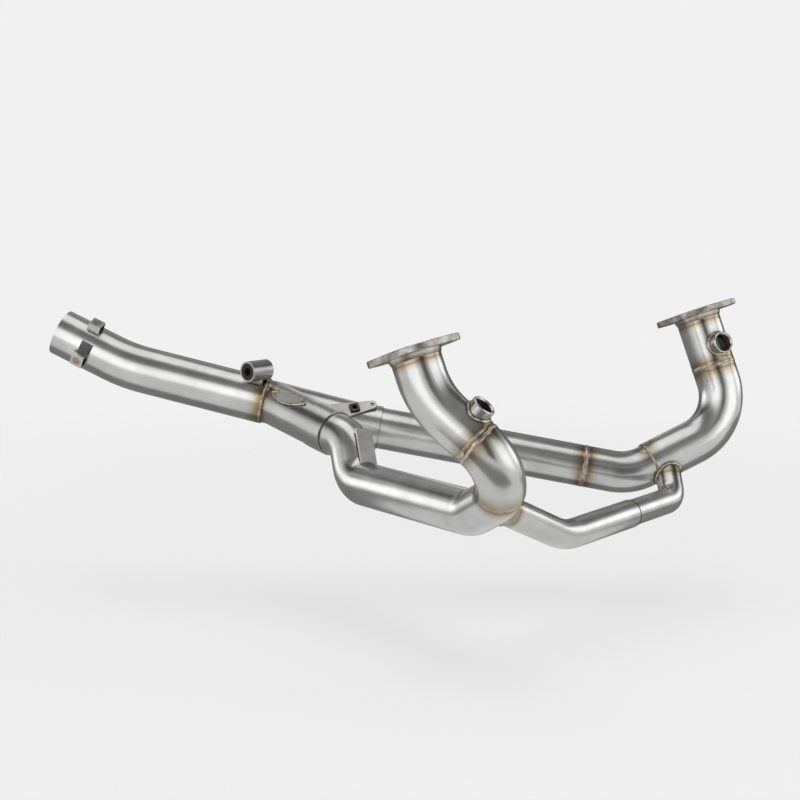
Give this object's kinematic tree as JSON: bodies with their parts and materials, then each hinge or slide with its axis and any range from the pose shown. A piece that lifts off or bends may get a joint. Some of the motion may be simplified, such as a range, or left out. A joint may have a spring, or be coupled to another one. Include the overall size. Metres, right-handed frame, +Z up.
{
  "type": "motorcycle decat pipe",
  "caption": "Welded stainless exhaust front section: headers from two flanged ports, a crossover pipe, and a collector joining them into one tail pipe with a rubber-bushed hanger.",
  "frame": {"origin": "centre of the right port flange's seat face, where the flange meets the cylinder", "axes": "+X forward on the motorcycle, +Y to the rider's left, +Z up; the flange faces lean back"},
  "size_m": [0.5984, 0.5062, 0.2159],
  "materials": {
    "stainless_pipe": "brushed",
    "stainless_plate": "satin",
    "stainless_boss": "turned",
    "weld_bead": "heat tinted",
    "rubber": "matt",
    "zinc_nut": "dark plated"
  },
  "bodies": {
    "root": {"right_upper_pipe": "stainless_pipe", "right_loop_pipe": "stainless_pipe", "right_lower_pipe": "stainless_pipe", "left_upper_pipe": "stainless_pipe", "left_front_pipe": "stainless_pipe", "left_inner_pipe": "stainless_pipe", "left_run_pipe": "stainless_pipe", "collector_left_leg": "stainless_pipe", "collector_right_leg": "stainless_pipe", "tail_pipe": "stainless_pipe", "outlet_sleeve": "stainless_pipe", "crossover_right_pipe": "stainless_pipe", "crossover_left_pipe": "stainless_pipe", "right_port_flange": "stainless_plate", "left_port_flange": "stainless_plate", "hanger_web": "stainless_plate", "stay_bracket": "stainless_plate", "crotch_plate": "stainless_plate", "riser_plate": "stainless_plate", "outlet_tab_top": "stainless_plate", "outlet_tab_front": "stainless_plate", "outlet_tab_rear": "stainless_plate", "hanger_tube": "stainless_plate", "right_lambda_boss": "stainless_boss", "left_lambda_boss": "stainless_boss", "right_port_weld": "weld_bead", "left_port_weld": "weld_bead", "right_knee_weld": "weld_bead", "right_loop_weld": "weld_bead", "left_seam_weld": "weld_bead", "left_bend_weld": "weld_bead", "left_run_weld": "weld_bead", "tail_weld": "weld_bead", "right_boss_weld": "weld_bead", "left_boss_weld": "weld_bead", "crossover_right_weld": "weld_bead", "crossover_left_weld": "weld_bead", "hanger_rubber_bush": "rubber", "stay_clip_nut": "zinc_nut"}
  },
  "joints": []
}
